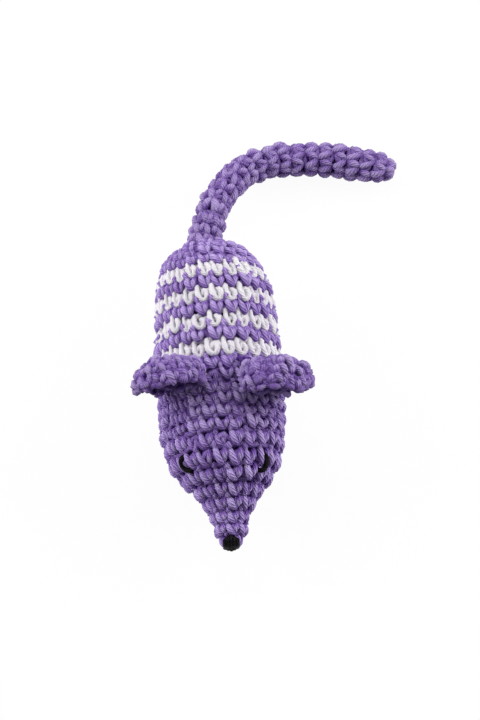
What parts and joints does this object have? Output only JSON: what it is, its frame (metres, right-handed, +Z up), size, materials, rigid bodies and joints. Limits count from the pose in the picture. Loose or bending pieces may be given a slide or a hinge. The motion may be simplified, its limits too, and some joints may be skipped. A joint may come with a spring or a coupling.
{
  "type": "catnip mouse",
  "caption": "Stuffed crocheted mouse for a cat: tapered striped body, cupped ears and curved tail sewn on, stitched eyes and nose, catnip sachet inside.",
  "frame": {"origin": "on the floor under the middle of the belly, on the round of the cover that the mouse rests on", "axes": "+Z up, -Y towards the nose, +Y towards the tail, +X to the mouse's left"},
  "size_m": [0.1021, 0.1556, 0.0581],
  "materials": {
    "purple_yarn": "plied worsted yarn in single crochet",
    "white_yarn": "plied worsted yarn in single crochet",
    "black_yarn": "embroidered yarn",
    "polyester_fibre": "loose wadding",
    "muslin": "plain woven cloth",
    "dried_herb": "crushed dry leaf"
  },
  "bodies": {
    "body": {"head_section": "purple_yarn", "rump_section": "purple_yarn", "nose_stitches": "black_yarn", "right_eye_stitch": "black_yarn", "left_eye_stitch": "black_yarn", "right_ear_seam_yarn": "purple_yarn", "left_ear_seam_yarn": "purple_yarn", "front_filling": "polyester_fibre", "rear_filling": "polyester_fibre", "sachet_upper_cloth": "muslin", "sachet_lower_cloth": "muslin", "catnip_herb": "dried_herb", "white_round_1": "white_yarn", "white_round_2": "white_yarn", "white_round_3": "white_yarn", "white_round_4": "white_yarn", "purple_round_1": "purple_yarn", "purple_round_2": "purple_yarn", "purple_round_3": "purple_yarn"},
    "right_ear": {"right_ear": "purple_yarn"},
    "left_ear": {"left_ear": "purple_yarn"},
    "tail_seam": {"tail_root_round": "purple_yarn"},
    "tail": {"tail_cover": "purple_yarn", "tail_filling": "polyester_fibre"}
  },
  "joints": [
    {"name": "right_ear_fold", "type": "hinge", "parent": "body", "child": "right_ear", "pos_m": [-0.01362, 0.00357, 0.04007], "axis": [0.7985, -0.0175, 0.6017], "range_deg": [-15, 15], "stiffness_Nm_per_rad": 0.002},
    {"name": "left_ear_fold", "type": "hinge", "parent": "body", "child": "left_ear", "pos_m": [0.01543, 0.00357, 0.03855], "axis": [0.7273, -0.1045, -0.6783], "range_deg": [-15, 15], "stiffness_Nm_per_rad": 0.002},
    {"name": "tail_lift", "type": "hinge", "parent": "body", "child": "tail_seam", "pos_m": [0, 0.0609, 0.022], "axis": [1, 0, 0], "range_deg": [-40, 45], "stiffness_Nm_per_rad": 0.006},
    {"name": "tail_swing", "type": "hinge", "parent": "tail_seam", "child": "tail", "pos_m": [0, 0.0609, 0.022], "axis": [0, 0, 1], "range_deg": [-40, 40], "stiffness_Nm_per_rad": 0.006}
  ]
}
